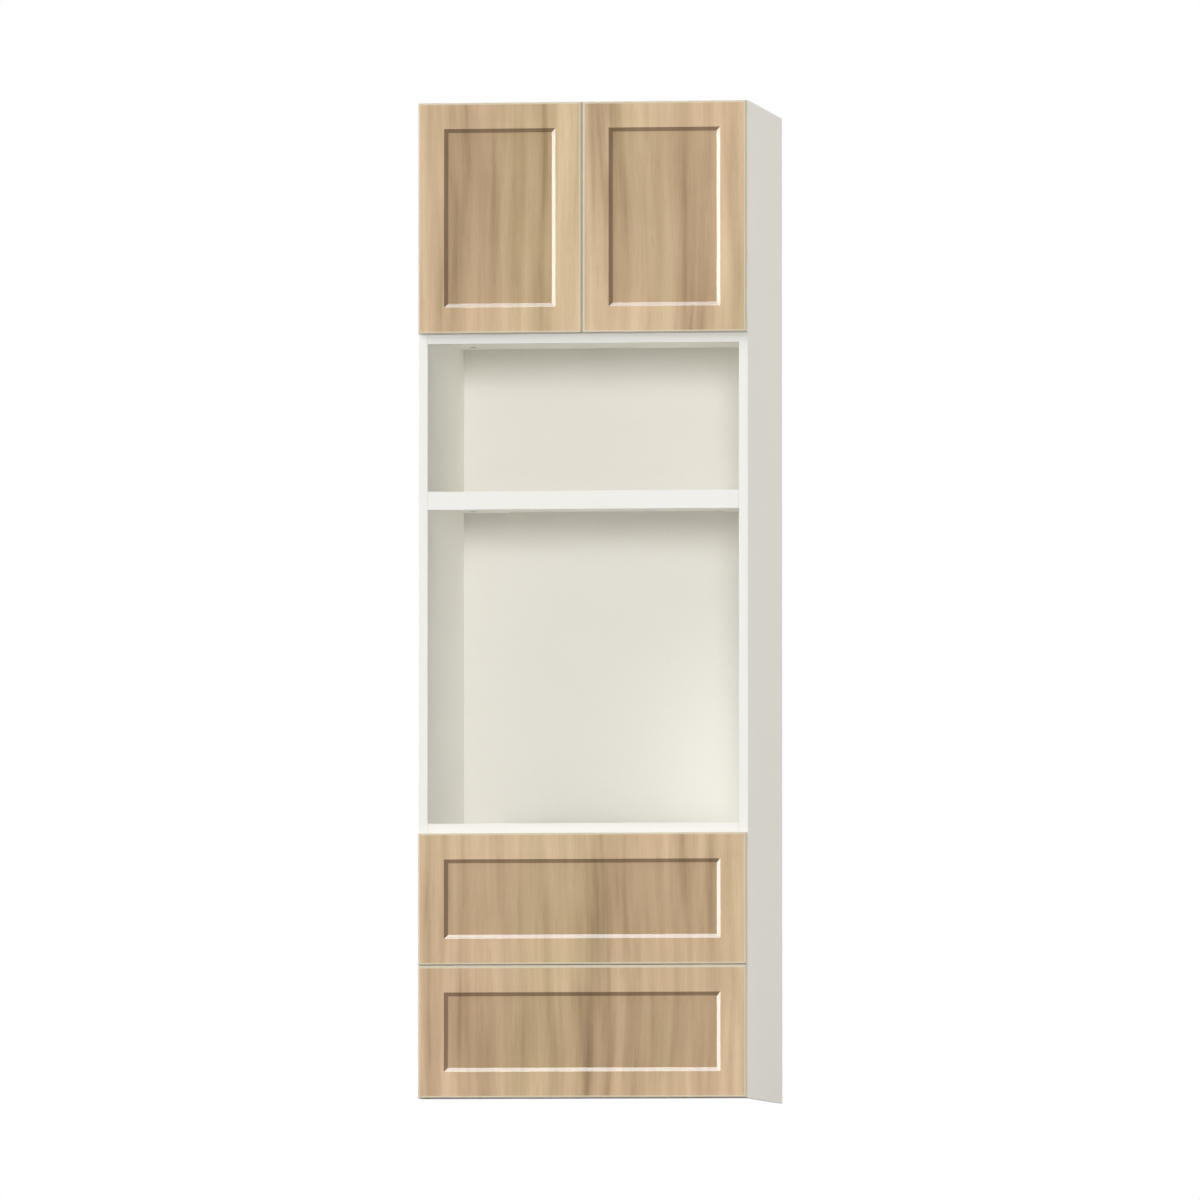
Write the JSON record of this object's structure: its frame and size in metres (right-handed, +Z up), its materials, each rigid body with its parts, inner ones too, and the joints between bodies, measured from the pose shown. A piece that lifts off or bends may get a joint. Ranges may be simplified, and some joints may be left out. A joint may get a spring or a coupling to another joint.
{
  "type": "tall oven housing unit",
  "caption": "Tall kitchen housing unit: two open appliance niches, routed wood-look doors above on concealed hinges, routed drawers below on telescoping runners.",
  "frame": {"origin": "middle of the footprint on the floor, fronts included", "axes": "+Z up, fronts face -Y, +X to the right of someone who stands in front"},
  "size_m": [0.762, 0.631, 2.286],
  "materials": {
    "melamine_board": "satin off-white melamine-faced board with matching edge band",
    "backing_board": "satin off-white faced fibreboard",
    "drawer_board": "satin off-white melamine-faced board",
    "wood_foil": "satin light oak-look foil, vertical grain, over routed fibreboard",
    "zinc_steel": "bright zinc-plated sheet steel",
    "nickel_steel": "nickel-plated pressed steel"
  },
  "bodies": {
    "carcass": {"left_side_panel": "melamine_board", "right_side_panel": "melamine_board", "bottom_panel": "melamine_board", "top_panel": "melamine_board", "oven_rail": "melamine_board", "oven_deck": "melamine_board", "niche_rail": "melamine_board", "niche_deck": "melamine_board", "cupboard_rail": "melamine_board", "cupboard_deck": "melamine_board", "cupboard_shelf": "melamine_board", "wall_rail": "melamine_board", "drawer_back": "backing_board", "niche_back": "backing_board", "cupboard_back": "backing_board", "left_hinge_arm_lower": "nickel_steel", "left_hinge_plate_lower": "nickel_steel", "left_hinge_arm_upper": "nickel_steel", "left_hinge_plate_upper": "nickel_steel", "right_hinge_arm_lower": "nickel_steel", "right_hinge_plate_lower": "nickel_steel", "right_hinge_arm_upper": "nickel_steel", "right_hinge_plate_upper": "nickel_steel", "lower_runner_cabinet_left": "zinc_steel", "lower_runner_cabinet_right": "zinc_steel", "upper_runner_cabinet_left": "zinc_steel", "upper_runner_cabinet_right": "zinc_steel"},
    "left_inner_links": {"left_inner_link_lower": "nickel_steel", "left_inner_link_upper": "nickel_steel"},
    "left_outer_links": {"left_outer_link_lower": "nickel_steel", "left_outer_link_upper": "nickel_steel"},
    "left_door": {"left_door": "wood_foil", "left_hinge_cup_lower": "nickel_steel", "left_hinge_cup_upper": "nickel_steel"},
    "right_inner_links": {"right_inner_link_lower": "nickel_steel", "right_inner_link_upper": "nickel_steel"},
    "right_outer_links": {"right_outer_link_lower": "nickel_steel", "right_outer_link_upper": "nickel_steel"},
    "right_door": {"right_door": "wood_foil", "right_hinge_cup_lower": "nickel_steel", "right_hinge_cup_upper": "nickel_steel"},
    "lower_runner_middles": {"lower_runner_middle_left": "zinc_steel", "lower_runner_middle_right": "zinc_steel"},
    "lower_drawer": {"lower_drawer_front": "wood_foil", "lower_drawer_bottom": "backing_board", "lower_drawer_back": "drawer_board", "lower_drawer_side_left": "drawer_board", "lower_runner_drawer_left": "zinc_steel", "lower_drawer_side_right": "drawer_board", "lower_runner_drawer_right": "zinc_steel"},
    "upper_runner_middles": {"upper_runner_middle_left": "zinc_steel", "upper_runner_middle_right": "zinc_steel"},
    "upper_drawer": {"upper_drawer_front": "wood_foil", "upper_drawer_bottom": "backing_board", "upper_drawer_back": "drawer_board", "upper_drawer_side_left": "drawer_board", "upper_runner_drawer_left": "zinc_steel", "upper_drawer_side_right": "drawer_board", "upper_runner_drawer_right": "zinc_steel"}
  },
  "joints": [
    {"name": "left_inner_link_swing", "type": "hinge", "parent": "carcass", "child": "left_inner_links", "pos_m": [-0.34175, -0.2661, 2.0193], "axis": [0, 0, 1], "range_deg": [0, 41.47]},
    {"name": "left_door_swing", "type": "hinge", "parent": "left_inner_links", "child": "left_door", "pos_m": [-0.36953, -0.29773, 2.0193], "axis": [0, 0, -1], "range_deg": [0, 141.47]},
    {"name": "left_outer_link_swing", "type": "hinge", "parent": "carcass", "child": "left_outer_links", "pos_m": [-0.3459, -0.28881, 2.0193], "axis": [0, 0, 1], "range_deg": [0, 64]},
    {"name": "right_inner_link_swing", "type": "hinge", "parent": "carcass", "child": "right_inner_links", "pos_m": [0.34175, -0.2661, 2.0193], "axis": [0, 0, -1], "range_deg": [0, 41.47]},
    {"name": "right_door_swing", "type": "hinge", "parent": "right_inner_links", "child": "right_door", "pos_m": [0.36953, -0.29773, 2.0193], "axis": [0, 0, 1], "range_deg": [0, 141.47]},
    {"name": "right_outer_link_swing", "type": "hinge", "parent": "carcass", "child": "right_outer_links", "pos_m": [0.3459, -0.28881, 2.0193], "axis": [0, 0, -1], "range_deg": [0, 64]},
    {"name": "lower_drawer_slide", "type": "slide", "parent": "carcass", "child": "lower_drawer", "axis": [0, -1, 0], "range_m": [0, 0.5]},
    {"name": "lower_runner_slide", "type": "slide", "parent": "carcass", "child": "lower_runner_middles", "axis": [0, -1, 0], "range_m": [0, 0.25]},
    {"name": "upper_drawer_slide", "type": "slide", "parent": "carcass", "child": "upper_drawer", "axis": [0, -1, 0], "range_m": [0, 0.5]},
    {"name": "upper_runner_slide", "type": "slide", "parent": "carcass", "child": "upper_runner_middles", "axis": [0, -1, 0], "range_m": [0, 0.25]}
  ],
  "couplings": [
    {"joint": "left_inner_link_swing", "follows": "left_door_swing", "ratio": 0.29314},
    {"joint": "left_outer_link_swing", "follows": "left_door_swing", "ratio": 0.45239},
    {"joint": "right_inner_link_swing", "follows": "right_door_swing", "ratio": 0.29314},
    {"joint": "right_outer_link_swing", "follows": "right_door_swing", "ratio": 0.45239},
    {"joint": "lower_runner_slide", "follows": "lower_drawer_slide", "ratio": 0.5},
    {"joint": "upper_runner_slide", "follows": "upper_drawer_slide", "ratio": 0.5}
  ]
}
